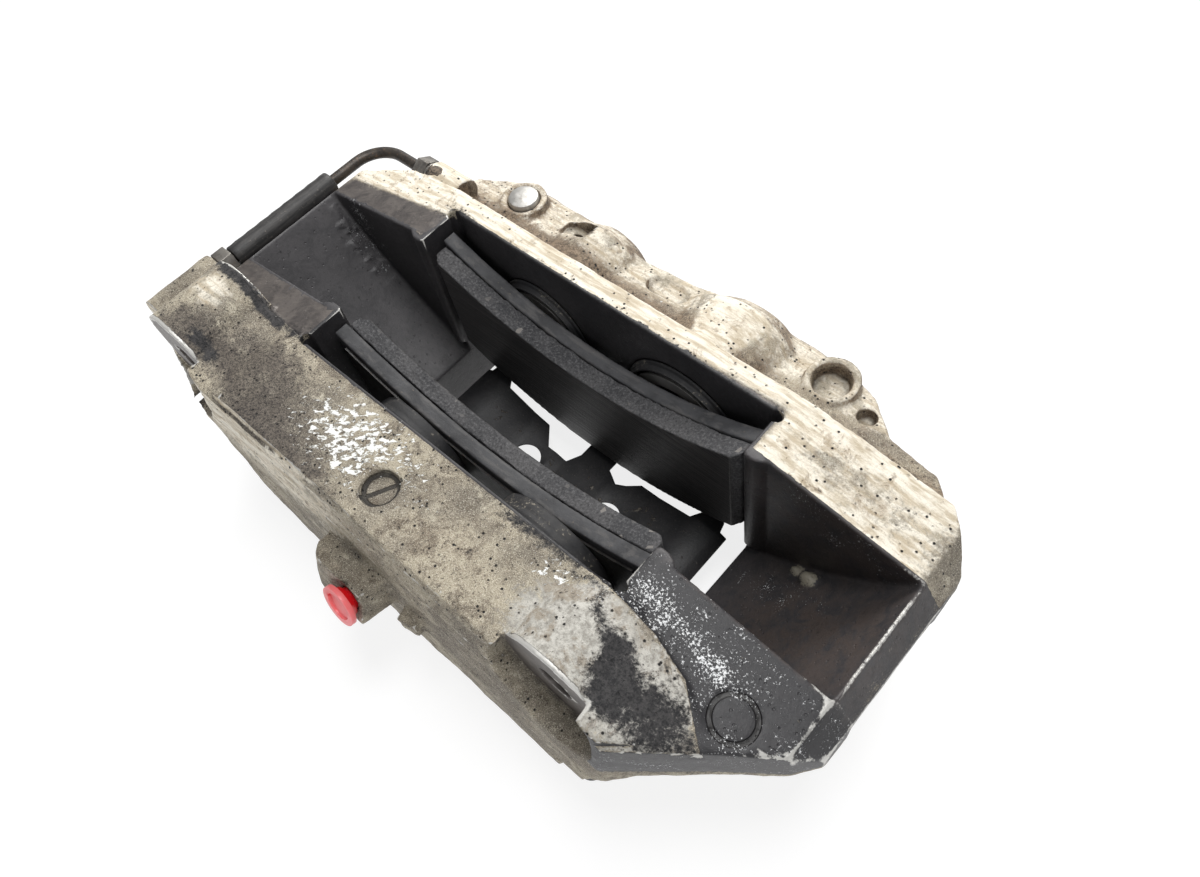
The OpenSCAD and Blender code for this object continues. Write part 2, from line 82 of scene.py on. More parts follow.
# the middle of the pads, on the middle plane of the disc, at the height of the machined deck
MIDDLE = Vector((
    (PLATE_LOW.x + PLATE_HIGH.x) / 2,
    (SLEEVE_LOW.y + SLEEVE_HIGH.y) / 2,
    BODY_LOW.z + BODY_DEPTH * MM,
))
LUG_Z = -MIDDLE.z / MM
LUG_FACE_Y = -MIDDLE.y / MM
LUG_X = [(-LUG_GAP / 2 * MM - MIDDLE.x) / MM, (LUG_GAP / 2 * MM - MIDDLE.x) / MM]

# casting, in millimetres from MIDDLE
POCKET_X = 75.4
POCKET_Y = 38.0
TROUGH_Y = 22.0
RIM_Y = 48.6
RING_MARK = (122, -44)
SLOT_MARK = (-7, -60)
SIDES = {"inboard": -1, "outboard": 1}
ENDS = ("left", "right")


def place(x, y, z):
    """A point given in millimetres from MIDDLE, in the row frame."""
    return MIDDLE + Vector((x, y, z)) * MM


# ---- camera, floor and light ----

CAMERA_AT = (0.1880, -0.0293, 0.2643)
CAMERA_AZIMUTH = -54.08
CAMERA_DOWN = 57.47
CAMERA_ROLL = -14.03
CAMERA_LENS = 28.28
SENSOR_WIDTH = 36
NEAREST_SEEN = 0.01

FLOOR_HALF = 20.0
FLOOR_TONE = (0.24, 0.24, 0.24, 1)
FLOOR_GLOW = 0.82

FILL_TINT = (0.96, 0.98, 1.0, 1)
FILL_STRENGTH = 0.33
BACKDROP_STRENGTH = 1.05
# name, place, point it faces, diameter (m), power (W) and tint of each lamp
LAMPS = (
    ("far_window", (-0.4, 0.8, 0.7), (0, 0.08, 0), 0.5, 10, (1.0, 0.99, 0.97)),
    ("overhead", (0.15, 0.2, 1.1), (0.02, 0.06, 0), 0.4, 7, (1, 1, 1)),
    ("near_window", (0.7, -0.7, 0.5), (0.02, 0.03, 0), 0.6, 1.8, (1, 1, 1)),
)


def make_camera():
    data = bpy.data.cameras.new("camera")
    data.lens = CAMERA_LENS
    data.sensor_width = SENSOR_WIDTH
    data.clip_start = NEAREST_SEEN
    camera = bpy.data.objects.new("camera", data)
    bpy.context.scene.collection.objects.link(camera)
    azimuth, down = math.radians(CAMERA_AZIMUTH), math.radians(CAMERA_DOWN)
    look = Vector((math.sin(azimuth) * math.cos(down), math.cos(azimuth) * math.cos(down), -math.sin(down)))
    aim = look.to_track_quat("-Z", "Y").to_matrix().to_4x4()
    turn = Euler((0, 0, math.radians(CAMERA_ROLL))).to_matrix().to_4x4()
    camera.matrix_world = aim @ turn
    camera.location = CAMERA_AT
    bpy.context.scene.camera = camera


def make_floor():
    mesh = bpy.data.meshes.new("floor")
    corners = [(-1, -1), (1, -1), (1, 1), (-1, 1)]
    points = [(x * FLOOR_HALF, y * FLOOR_HALF, cad_box[0][2]) for x, y in corners]
    mesh.from_pydata(points, [], [(0, 1, 2, 3)])
    floor = bpy.data.objects.new("floor", mesh)
    bpy.context.scene.collection.objects.link(floor)
    g = Graph("floor_white")
    g.set(color=FLOOR_TONE, roughness=0.9)
    g.shader.inputs["Specular IOR Level"].default_value = 0.0
    g.shader.inputs["Emission Color"].default_value = (1, 1, 1, 1)
    g.shader.inputs["Emission Strength"].default_value = FLOOR_GLOW
    mesh.materials.append(g.material)


def area_light(name, at, aim, size, power, color):
    data = bpy.data.lights.new(name, "AREA")
    data.shape = "DISK"
    data.size = size
    data.energy = power
    data.color = color
    light = bpy.data.objects.new(name, data)
    bpy.context.scene.collection.objects.link(light)
    light.location = at
    light.rotation_euler = (Vector(aim) - Vector(at)).to_track_quat("-Z", "Y").to_euler()


def make_light():
    scene = bpy.context.scene
    world = bpy.data.worlds.new("studio")
    world.use_nodes = True
    background = world.node_tree.nodes["Background"]
    background.inputs["Color"].default_value = FILL_TINT
    # soft fill light, with plain white behind the object
    seen = world.node_tree.nodes.new("ShaderNodeLightPath").outputs["Is Camera Ray"]
    strength = world.node_tree.nodes.new("ShaderNodeMapRange")
    strength.inputs["To Min"].default_value = FILL_STRENGTH
    strength.inputs["To Max"].default_value = BACKDROP_STRENGTH
    world.node_tree.links.new(seen, strength.inputs["Value"])
    world.node_tree.links.new(strength.outputs["Result"], background.inputs["Strength"])
    scene.world = world
    scene.view_settings.view_transform = "Standard"
    for lamp in LAMPS:
        area_light(*lamp)


# ---- material graphs ----


def srgb(*values):
    """A colour given as it looks on a screen, from 0 to 255, as linear light."""
    linear = [v / 255 / 12.92 if v < 10.3 else ((v / 255 + 0.055) / 1.055) ** 2.4 for v in values]
    return (*linear, 1.0)


class Graph:
    """A material's node tree, with one short call for each kind of node it needs."""

    def __init__(self, name):
        self.material = bpy.data.materials.new(name)
        self.material.use_nodes = True
        self.tree = self.material.node_tree
        self.shader = self.tree.nodes["Principled BSDF"]
        self.place = self.add("ShaderNodeTexCoord").outputs["Object"]

    def add(self, kind, **settings):
        node = self.tree.nodes.new(kind)
        for key, value in settings.items():
            setattr(node, key, value)
        return node

    def feed(self, value, socket):
        if isinstance(value, bpy.types.NodeSocket):
            self.tree.links.new(value, socket)
        elif value is not None:
            socket.default_value = value

    def set(self, color, roughness, metallic=None, normal=None):
        inputs = self.shader.inputs
        self.feed(color, inputs["Base Color"])
        self.feed(roughness, inputs["Roughness"])
        self.feed(metallic, inputs["Metallic"])
        self.feed(normal, inputs["Normal"])

    def where(self, stretch=(1, 1, 1), turn=(0, 0, 0)):
        """Object coordinates, turned and stretched: a stretch above 1 draws a pattern out that way."""
        mapping = self.add("ShaderNodeMapping", vector_type="TEXTURE")
        self.feed(self.place, mapping.inputs["Vector"])
        mapping.inputs["Rotation"].default_value = [math.radians(a) for a in turn]
        mapping.inputs["Scale"].default_value = stretch
        return mapping.outputs["Vector"]

    def noise(self, size, detail=4, rough=0.6, where=None, warp=0.0):
        node = self.add("ShaderNodeTexNoise")
        self.feed(where or self.place, node.inputs["Vector"])
        node.inputs["Scale"].default_value = 1 / (size * MM)
        node.inputs["Detail"].default_value = detail
        node.inputs["Roughness"].default_value = rough
        node.inputs["Distortion"].default_value = warp
        return node.outputs["Fac"]

    def cells(self, size, output="Distance"):
        node = self.add("ShaderNodeTexVoronoi")
        self.feed(self.place, node.inputs["Vector"])
        node.inputs["Scale"].default_value = 1 / (size * MM)
        return node.outputs[output]

    def math(self, operation, a, b=0.0):
        node = self.add("ShaderNodeMath", operation=operation)
        self.feed(a, node.inputs[0])
        self.feed(b, node.inputs[1])
        return node.outputs[0]

    def add_up(self, *terms):
        total = terms[0]
        for term in terms[1:]:
            total = self.math("ADD", total, term)
        return total

    def times(self, a, b):
        return self.math("MULTIPLY", a, b)

    def step(self, value, low, high):
        """A smooth step from 0 at low to 1 at high, or down from 1 where high is below low."""
        node = self.add("ShaderNodeMapRange", interpolation_type="SMOOTHSTEP")
        self.feed(value, node.inputs["Value"])
        node.inputs["From Min"].default_value = low
        node.inputs["From Max"].default_value = high
        return node.outputs["Result"]

    def mix(self, share, a, b):
        node = self.add("ShaderNodeMix", data_type="RGBA")
        self.feed(share, node.inputs[0])
        self.feed(a, node.inputs[6])
        self.feed(b, node.inputs[7])
        return node.outputs[2]

    def blend(self, share, a, b):
        """Mixes two plain numbers."""
        node = self.add("ShaderNodeMix", data_type="FLOAT")
        self.feed(share, node.inputs[0])
        self.feed(a, node.inputs[2])
        self.feed(b, node.inputs[3])
        return node.outputs[0]

    def mask(self, name):
        return self.add("ShaderNodeAttribute", attribute_name=name).outputs["Fac"]

    def ragged(self, name, grain, reach=0.5, edge=0.06):
        """A mask from the mesh whose soft edge is broken up by a noise."""
        shifted = self.math("ADD", self.mask(name), self.times(self.math("SUBTRACT", grain, 0.5), reach))
        return self.step(shifted, 0.5 - edge, 0.5 + edge)

    def away(self, x, y):
        """Distance in millimetres from the upright line through (x, y), seen from above."""
        offset = self.add("ShaderNodeVectorMath", operation="SUBTRACT")
        self.feed(self.place, offset.inputs[0])
        offset.inputs[1].default_value = place(x, y, 0)
        flat = self.add("ShaderNodeVectorMath", operation="MULTIPLY")
        self.feed(offset.outputs[0], flat.inputs[0])
        flat.inputs[1].default_value = (1 / MM, 1 / MM, 0)
        length = self.add("ShaderNodeVectorMath", operation="LENGTH")
        self.feed(flat.outputs[0], length.inputs[0])
        return length.outputs["Value"]

    def ring(self, x, y, inner, outer):
        """A round groove about (x, y) between the two radii, in millimetres."""
        away = self.away(x, y)
        past_inner = self.step(away, inner - 0.3, inner + 0.1)
        return self.times(past_inner, self.step(away, outer + 0.3, outer - 0.1))

    def bar(self, x, y, turn, half, reach):
        """A straight groove through (x, y) at turn degrees, half wide to either side, reach long each way."""
        offset = self.add("ShaderNodeMapping", vector_type="TEXTURE")
        self.feed(self.place, offset.inputs["Vector"])
        offset.inputs["Location"].default_value = place(x, y, 0)
        offset.inputs["Rotation"].default_value = (0, 0, math.radians(turn))
        split = self.add("ShaderNodeSeparateXYZ")
        self.feed(offset.outputs["Vector"], split.inputs[0])
        across = self.times(self.math("ABSOLUTE", split.outputs["Y"]), 1 / MM)
        near = self.step(self.away(x, y), reach + 0.3, reach - 0.1)
        return self.times(self.step(across, half + 0.25, half - 0.1), near)

    def bump(self, height, depth):
        """depth is in millimetres, for a height from 0 to 1."""
        node = self.add("ShaderNodeBump")
        node.inputs["Distance"].default_value = depth * MM
        self.feed(height, node.inputs["Height"])
        return node.outputs["Normal"]


# ---- materials ----


def cast_alloy():
    """Sand-cast alloy: cream skin with dark pores, black film, machined faces and white flakes, with painted shade
    and highlights.
    """
    g = Graph("cast_alloy_weathered")
    broad = g.noise(28, 4, 0.62)
    blotch = g.noise(8, 6, 0.72, warp=0.5)
    grain = g.noise(2.0, 6, 0.75)
    fine = g.noise(0.7, 3, 0.75)
    sand = g.noise(0.35, 2, 0.8)
    pores = g.times(g.step(g.cells(2.4), 0.22, 0.12), g.step(g.noise(5, 2, 0.5), 0.44, 0.54))
    edge_grain = g.add_up(g.times(blotch, 0.5), g.times(grain, 0.3), g.times(fine, 0.2))
    fine_edge = g.add_up(g.times(grain, 0.55), g.times(fine, 0.45))

    # the bare cast skin
    skin = g.mix(g.step(broad, 0.4, 0.6), srgb(122, 114, 101), srgb(176, 166, 146))
    skin = g.mix(g.times(g.step(blotch, 0.48, 0.62), 0.75), skin, srgb(104, 93, 79))
    skin = g.mix(g.times(g.step(blotch, 0.42, 0.34), 0.55), skin, srgb(204, 196, 176))
    streak = g.noise(3.0, 5, 0.7, where=g.where((5, 1, 1)))
    streaks = g.times(g.mask("side"), g.step(streak, 0.46, 0.62))
    skin = g.mix(g.times(streaks, 0.45), skin, srgb(92, 78, 62))
    pale_streaks = g.times(g.mask("side"), g.step(streak, 0.42, 0.32))
    skin = g.mix(g.times(pale_streaks, 0.4), skin, srgb(206, 198, 180))
    skin = g.mix(g.times(g.step(grain, 0.54, 0.64), 0.6), skin, srgb(84, 74, 63))
    skin = g.mix(g.times(g.step(sand, 0.5, 0.66), 0.65), skin, srgb(92, 84, 72))
    skin = g.mix(g.times(g.step(sand, 0.47, 0.32), 0.65), skin, srgb(226, 220, 204))

    # brown stain, which also carries painted shadow on the far ledge under the rim and on far faces tilted away
    # from straight up
    brown = g.ragged("brown", edge_grain, 1.8, 0.34)
    brown_and_shadow_tone = g.mix(g.step(fine_edge, 0.42, 0.58), srgb(142, 122, 100), srgb(84, 69, 56))
    skin = g.mix(g.times(brown, 0.85), skin, brown_and_shadow_tone)

    # dirt spots, which also carry painted shade on faces turned downwards
    grime_and_underside_shade = g.ragged("grime_and_underside_shade", edge_grain, 2.2, 0.36)
    grime_and_shade_tone = g.mix(g.step(fine_edge, 0.4, 0.6), srgb(100, 92, 84), srgb(64, 58, 54))
    skin = g.mix(g.times(grime_and_underside_shade, 0.9), skin, grime_and_shade_tone)
    pepper_level = g.add_up(fine, g.times(g.mask("grime_and_underside_shade"), 0.1))
    skin = g.mix(g.times(g.step(pepper_level, 0.6, 0.66), 0.8), skin, srgb(48, 43, 40))

    # bare metal patches, which also carry a painted highlight on the crests of the humps
    silver_and_crest_highlight = g.ragged("silver_and_crest_highlight", edge_grain, 3.0, 0.14)
    silver_and_highlight_tone = g.mix(g.step(grain, 0.4, 0.62), srgb(198, 195, 187), srgb(154, 150, 142))
    silver_and_highlight_tone = g.mix(g.times(g.step(blotch, 0.48, 0.6), 0.75), silver_and_highlight_tone, srgb(148, 136, 119))
    silver_and_highlight_tone = g.mix(g.times(g.step(fine, 0.58, 0.68), 0.6), silver_and_highlight_tone, srgb(88, 82, 76))
    skin = g.mix(silver_and_crest_highlight, skin, silver_and_highlight_tone)

    # pale cream skin, which also carries painted highlight on the far rim and ledge tops, on lug 1 and along the
    # near wall
    bright = g.ragged("bright", edge_grain, 2.4, 0.2)
    rub = g.noise(2.2, 5, 0.66, where=g.where((9, 1, 1)))
    pale_and_highlight_tone = g.mix(g.step(rub, 0.4, 0.64), srgb(240, 233, 218), srgb(196, 182, 158))
    pale_and_highlight_tone = g.mix(g.times(g.step(blotch, 0.54, 0.66), 0.6), pale_and_highlight_tone, srgb(158, 138, 112))
    pale_and_highlight_tone = g.mix(g.times(g.step(grain, 0.62, 0.7), 0.8), pale_and_highlight_tone, srgb(110, 94, 76))
    skin = g.mix(bright, skin, pale_and_highlight_tone)
    skin = g.mix(pores, skin, srgb(30, 28, 26))

    # machined faces, brown with old oil
    mill = g.noise(1.6, 4, 0.6, where=g.where((3, 0.8, 1), (0, 0, 35)))
    face = g.mix(g.step(blotch, 0.38, 0.62), srgb(102, 96, 92), srgb(80, 75, 73))
    face = g.mix(g.times(g.step(mill, 0.5, 0.64), 0.2), face, srgb(132, 124, 116))
    face = g.mix(g.times(g.step(fine, 0.58, 0.68), 0.5), face, srgb(60, 54, 52))
    machined = g.ragged("machined", edge_grain, 1.4, 0.16)
    tone = g.mix(machined, skin, face)

    # black film in the trough, the pocket and on the near right pad
    film = g.ragged("film", fine_edge, 0.6, 0.06)
    film_tone = g.mix(g.step(broad, 0.4, 0.65), srgb(42, 41, 43), srgb(57, 55, 57))
    film_tone = g.mix(g.times(g.step(grain, 0.5, 0.62), 0.6), film_tone, srgb(32, 31, 33))
    film_tone = g.mix(g.times(g.step(fine, 0.6, 0.7), 0.3), film_tone, srgb(112, 104, 98))
    under_specks = g.math("MINIMUM", g.times(g.mask("specks"), 1.6), 0.7)
    film_tone = g.mix(under_specks, film_tone, srgb(27, 26, 29))
    dust = g.times(g.mask("dust"), g.blend(g.step(blotch, 0.35, 0.6), 0.3, 0.6))
    film_tone = g.mix(dust, film_tone, srgb(104, 102, 104))
    warm = g.times(g.mask("warm"), g.step(blotch, 0.35, 0.6))
    film_tone = g.mix(g.times(warm, 0.7), film_tone, srgb(84, 70, 61))
    film_tone = g.mix(g.ragged("crumbs", fine_edge, 3.0, 0.16), film_tone, srgb(140, 134, 120))
    tone = g.mix(film, tone, film_tone)
    # black deposits, which also carry painted shade on the flank and in the valley beside the lug 2 hump
    soot_and_shade = g.ragged("soot_and_shade", edge_grain, 4.2, 0.3)
    soot_and_shade_tone = g.mix(g.step(fine_edge, 0.42, 0.6), srgb(62, 60, 60), srgb(26, 26, 28))
    tone = g.mix(soot_and_shade, tone, soot_and_shade_tone)
    # painted shade in creases and corners
    tone = g.mix(g.times(g.mask("crevice_shade"), 0.75), tone, srgb(34, 31, 30))

    # round foundry marks, one of them slotted
    slotted = g.math("MAXIMUM", g.ring(*SLOT_MARK, 5.2, 6.3), g.bar(*SLOT_MARK, 61, 0.7, 7.5))
    marks = g.times(g.mask("marks"), g.math("MAXIMUM", g.ring(*RING_MARK, 6.0, 7.4), slotted))
    tone = g.mix(g.times(marks, 0.85), tone, srgb(30, 28, 27))

    # white specks of corrosion through the film, and chips of white paint
    speck = g.noise(0.75, 4, 0.75)
    crowd = g.noise(9, 4, 0.6)
    crowded = g.times(g.math("SUBTRACT", crowd, 0.5), 0.4)
    speck_level = g.add_up(speck, crowded, g.times(g.mask("specks"), 0.15))
    specks = g.times(g.step(speck_level, 0.68, 0.72), g.step(g.mask("specks"), 0.05, 0.3))
    tone = g.mix(specks, tone, srgb(226, 227, 228))
    flake_noise = g.noise(2.1, 5, 0.68, where=g.where((1.5, 0.9, 1), (0, 0, 40)), warp=0.3)
    flake_level = g.add_up(flake_noise, g.times(g.mask("flakes"), 0.2))
    flakes = g.times(g.step(flake_level, 0.685, 0.705), g.step(g.mask("flakes"), 0.1, 0.3))
    tone = g.mix(flakes, tone, srgb(240, 240, 236))

    # worn bright edges, which are also painted edge highlights on every convex edge
    wear_and_edge_highlight = g.ragged("wear_and_edge_highlight", fine_edge, 1.1, 0.12)
    tone = g.mix(g.times(wear_and_edge_highlight, 0.9), tone, srgb(212, 210, 205))

    rough = g.blend(machined, g.blend(grain, 0.6, 0.85), g.blend(mill, 0.4, 0.55))
    rough = g.blend(film, rough, g.blend(grain, 0.36, 0.6))
    rough = g.blend(flakes, rough, 0.5)
    metal = g.blend(machined, 0.05, 0.35)
    metal = g.blend(film, metal, 0.0)
    metal = g.blend(flakes, metal, 0.0)
    metal = g.blend(wear_and_edge_highlight, metal, 0.5)

    grains = g.add_up(g.times(grain, 0.45), g.times(fine, 0.3), g.times(sand, 0.12))
    relief = g.add_up(grains, g.times(pores, -0.8))
    calm = g.blend(machined, 1.0, 0.15)
    calm = g.blend(film, calm, 0.3)
    raised = g.add_up(g.times(flakes, 0.3), g.times(specks, 0.15))
    relief = g.add_up(g.times(relief, calm), raised, g.times(marks, -0.8))
    normal = g.bump(relief, 0.7)
    g.set(color=tone, roughness=rough, metallic=metal, normal=normal)
    return g.material


def friction_block():
    """Moulded friction compound: coarse grains on its edges and sliding scratches on its face."""
    g = Graph("friction_compound")
    grain = g.noise(0.9, 5, 0.75)
    chips = g.cells(1.8, "Color")
    broad = g.noise(20, 3, 0.6)
    scratch = g.noise(1.1, 3, 0.6, where=g.where((40, 1, 1)))
    tone = g.mix(g.step(broad, 0.35, 0.65), srgb(62, 62, 64), srgb(80, 79, 80))
    tone = g.mix(g.times(g.step(grain, 0.5, 0.62), 0.8), tone, srgb(104, 103, 104))
    tone = g.mix(g.times(g.step(grain, 0.46, 0.36), 0.8), tone, srgb(36, 36, 38))
    tone = g.mix(g.step(chips, 0.9, 0.96), tone, srgb(128, 124, 120))
    face = g.mask("face")
    line_tone = g.mix(g.step(scratch, 0.42, 0.6), srgb(34, 33, 34), srgb(62, 60, 59))
    tone = g.mix(face, tone, line_tone)
    rough = g.blend(face, g.blend(grain, 0.8, 0.95), g.blend(scratch, 0.42, 0.6))
    height = g.blend(face, g.times(grain, 1.0), g.times(scratch, 0.7))
    g.set(color=tone, roughness=rough, normal=g.bump(height, 0.4))
    return g.material


def painted_plate():
    """Black paint on steel under brake dust."""
    g = Graph("dusty_plate")
    grain = g.noise(1.6, 5, 0.7)
    broad = g.noise(16, 4, 0.6)
    streak = g.noise(2.5, 4, 0.6, where=g.where((9, 1, 1)))
    tone = g.mix(g.step(broad, 0.35, 0.65), srgb(50, 50, 52), srgb(70, 70, 72))
    tone = g.mix(g.times(g.step(streak, 0.5, 0.66), 0.6), tone, srgb(90, 88, 87))
    tone = g.mix(g.step(grain, 0.64, 0.72), tone, srgb(118, 108, 96))
    g.set(color=tone, roughness=g.blend(grain, 0.5, 0.8), normal=g.bump(grain, 0.25))
    return g.material


def rubber(name, dark, light, dust):
    """Rubber with a bloom and dust caught on it; dust is how much of it shows."""
    g = Graph(name)
    grain = g.noise(1.0, 5, 0.7)
    broad = g.noise(8, 3, 0.6)
    tone = g.mix(g.step(broad, 0.35, 0.65), dark, light)
    crust = g.times(g.step(grain, 0.56, 0.66), g.step(broad, 0.5, 0.62))
    tone = g.mix(g.times(crust, dust), tone, srgb(150, 142, 128))
    g.set(color=tone, roughness=g.blend(grain, 0.5, 0.75), normal=g.bump(grain, 0.18))
    return g.material


def scuffed_sleeve():
    g = Graph("scuffed_sleeve")
    along = g.noise(1.2, 4, 0.65, where=g.where((1, 14, 1)))
    grain = g.noise(1.5, 5, 0.7)
    tone = g.mix(g.step(along, 0.4, 0.6), srgb(40, 39, 39), srgb(60, 58, 57))
    tone = g.mix(g.times(g.step(grain, 0.6, 0.7), 0.7), tone, srgb(120, 112, 104))
    g.set(color=tone, roughness=g.blend(along, 0.45, 0.65), normal=g.bump(grain, 0.12))
    return g.material


def stamped_steel():
    """Black spring steel with a thin film of dust."""
    g = Graph("black_spring_steel")
    grain = g.noise(0.9, 4, 0.7)
    broad = g.noise(12, 4, 0.6)
    lumps = g.times(g.step(g.noise(3.5, 4, 0.7), 0.6, 0.66), g.step(broad, 0.5, 0.6))
    tone = g.mix(g.step(broad, 0.35, 0.65), srgb(30, 30, 32), srgb(44, 43, 44))
    tone = g.mix(g.times(g.step(grain, 0.6, 0.7), 0.4), tone, srgb(92, 88, 82))
    tone = g.mix(g.times(lumps, 0.6), tone, srgb(120, 112, 100))
    height = g.add_up(g.times(grain, 0.4), lumps)
    g.set(color=tone, roughness=g.blend(grain, 0.42, 0.62), normal=g.bump(height, 0.3))
    return g.material


def worn_steel(name, dark, light, rust, shine=0.7):
    """Plated steel, dulled, with brown spots; rust is how much of them shows."""
    g = Graph(name)
    grain = g.noise(1.4, 5, 0.7)
    broad = g.noise(7, 4, 0.65)
    tone = g.mix(g.step(broad, 0.35, 0.65), dark, light)
    rusty = g.times(g.step(grain, 0.55, 0.65), rust)
    tone = g.mix(rusty, tone, srgb(96, 74, 56))
    metal = g.times(g.math("SUBTRACT", 1.0, rusty), shine)
    g.set(color=tone, roughness=g.blend(grain, 0.3, 0.55), metallic=metal, normal=g.bump(grain, 0.1))
    return g.material


def red_plastic():
    """Moulded red plastic, with a paler outer rim."""
    g = Graph("red_plastic")
    rim = g.mask("rim")
    grain = g.noise(0.8, 4, 0.6)
    tone = g.mix(rim, srgb(222, 16, 26), srgb(244, 118, 120))
    tone = g.mix(g.times(g.step(grain, 0.6, 0.7), 0.3), tone, srgb(250, 150, 150))
    g.set(color=tone, roughness=g.blend(grain, 0.28, 0.4), normal=g.bump(grain, 0.05))
    g.shader.inputs["Subsurface Weight"].default_value = 0.15
    g.shader.inputs["Subsurface Radius"].default_value = (0.003, 0.001, 0.001)
    return g.material


def anodised():
    """Turned and anodised piston metal, with fine rings and a dark burnt nose."""
    g = Graph("anodised_piston")
    rings = g.noise(0.5, 2, 0.5, where=g.where((30, 1, 30)))
    broad = g.noise(9, 4, 0.6)
    tone = g.mix(g.step(rings, 0.4, 0.6), srgb(120, 118, 116), srgb(150, 148, 145))
    tone = g.mix(g.step(broad, 0.5, 0.68), tone, srgb(72, 68, 64))
    g.set(color=tone, roughness=g.blend(rings, 0.3, 0.45), metallic=0.8, normal=g.bump(rings, 0.05))
    return g.material


# ---- mesh helpers ----


def lattice(points, seed):
    """Smooth value noise from 0 to 1 at points, with one random value per whole-number corner."""
    base = np.floor(points).astype(np.int64)
    part = points - base
    part = part * part * (3 - 2 * part)
    total = np.zeros(len(points))
    for corner in range(8):
        offset = np.array([corner & 1, corner >> 1 & 1, corner >> 2 & 1])
        cell = (base + offset) * np.array([73856093, 19349663, 83492791]) + seed * 2654435761
        key = np.bitwise_xor.reduce(cell, axis=1) & 0xFFFFFFFF
        key = (key ^ (key >> 15)) * 2246822519 & 0xFFFFFFFF
        key = (key ^ (key >> 13)) * 3266489917 & 0xFFFFFFFF
        value = ((key ^ (key >> 16)) & 0xFFFF) / 65535
        weight = np.prod(np.where(offset == 1, part, 1 - part), axis=1)
        total += value * weight
    return total


def rough_noise(points, size, octaves, seed):
    """Layered value noise about 0, with features of size millimetres."""
    total, scale, share = np.zeros(len(points)), 1 / size, 1.0
    for octave in range(octaves):
        total += share * (lattice(points * scale, seed + octave) - 0.5)
        scale *= 2.1
        share *= 0.5
    return total


def smooth_step(value, low, high):
    t = np.clip((value - low) / (high - low), 0, 1)
    return t * t * (3 - 2 * t)


def inside(value, low, high, soft):
    """1 between low and high, falling to 0 over soft on either side."""
    return smooth_step(value, low - soft, low) * smooth_step(-value, -high - soft, -high)


def new_object(name, mesh):
    obj = bpy.data.objects.new(name, mesh)
    bpy.context.scene.collection.objects.link(obj)
    return obj


def applied(obj):
    """Replaces an object's mesh with what its modifiers make of it."""
    bpy.context.view_layer.update()
    evaluated = obj.evaluated_get(bpy.context.evaluated_depsgraph_get())
    made = bpy.data.meshes.new_from_object(evaluated)
    obj.modifiers.clear()
    old, obj.data = obj.data, made
    bpy.data.meshes.remove(old)
    return obj


def welded_copy(node, name):
    """A copy of a CAD node's mesh with its doubled corners joined."""
    mesh = frame["nodes"][node].data.copy()
    mesh.materials.clear()
    bm = bmesh.new()
    bm.from_mesh(mesh)
    bmesh.ops.remove_doubles(bm, verts=bm.verts, dist=1e-6)
    bm.to_mesh(mesh)
    bm.free()
    return new_object(name, mesh)


def remeshed(node, name, voxel):
    obj = welded_copy(node, name)
    modifier = obj.modifiers.new("remesh", "REMESH")
    modifier.mode = "VOXEL"
    modifier.voxel_size = voxel * MM
    return applied(obj)


def points_of(mesh):
    co = np.empty(len(mesh.vertices) * 3)
    mesh.vertices.foreach_get("co", co)
    return (co.reshape(-1, 3) - np.array(MIDDLE)) / MM


def normals_of(mesh):
    normals = np.empty(len(mesh.vertices) * 3)
    mesh.vertices.foreach_get("normal", normals)
    return normals.reshape(-1, 3)


def put_points(mesh, points, low=BODY_LOW, high=BODY_HIGH):
    """Writes points back, kept inside the CAD node's own box."""
    co = np.clip(points * MM + np.array(MIDDLE), np.array(low), np.array(high))
    mesh.vertices.foreach_set("co", co.ravel())
    mesh.update()


def relaxed(mesh, points, weight, rounds):
    """Moves each point towards the middle of its neighbours, by weight, in several rounds."""
    edges = np.empty(len(mesh.edges) * 2, np.int64)
    mesh.edges.foreach_get("vertices", edges)
    a, b = edges.reshape(-1, 2).T
    count = np.bincount(a, minlength=len(points)) + np.bincount(b, minlength=len(points))
    for _ in range(rounds):
        total = np.stack([
            np.bincount(a, points[b, k], len(points)) + np.bincount(b, points[a, k], len(points))
            for k in range(3)
        ], axis=1)
        points = points + weight[:, None] * (total / count[:, None] - points)
    return points


def store(mesh, name, values):
    mesh.attributes.new(name, "FLOAT", "POINT").data.foreach_set("value", values.astype(np.float32))


def finish_piece(obj, material, body, node):
    """Shades a piece smooth, gives it its material, ties it to its body and hides its CAD node."""
    obj.data.materials.clear()
    obj.data.materials.append(material)
    obj.data.shade_smooth()
    if body:
        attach(obj, body)
    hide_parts(node)


def turned(name, profile, at, axis, steps=96):
    """A lathe shape: profile is (radius, distance) in millimetres along axis from the point at."""
    bm = bmesh.new()
    along = Vector(axis).normalized()
    side = along.orthogonal().normalized()
    up = along.cross(side)
    rings = []
    for radius, distance in profile:
        ring = []
        for i in range(steps):
            angle = 2 * math.pi * i / steps
            spoke = side * math.cos(angle) + up * math.sin(angle)
            ring.append(bm.verts.new(at + (along * distance + spoke * radius) * MM))
        rings.append(ring)
    for a, b in zip(rings, rings[1:] + rings[:1]):
        for i in range(steps):
            j = (i + 1) % steps
            bm.faces.new((a[i], a[j], b[j], b[i]))
    bmesh.ops.recalc_face_normals(bm, faces=bm.faces)
    mesh = bpy.data.meshes.new(name)
    bm.to_mesh(mesh)
    bm.free()
    return new_object(name, mesh)


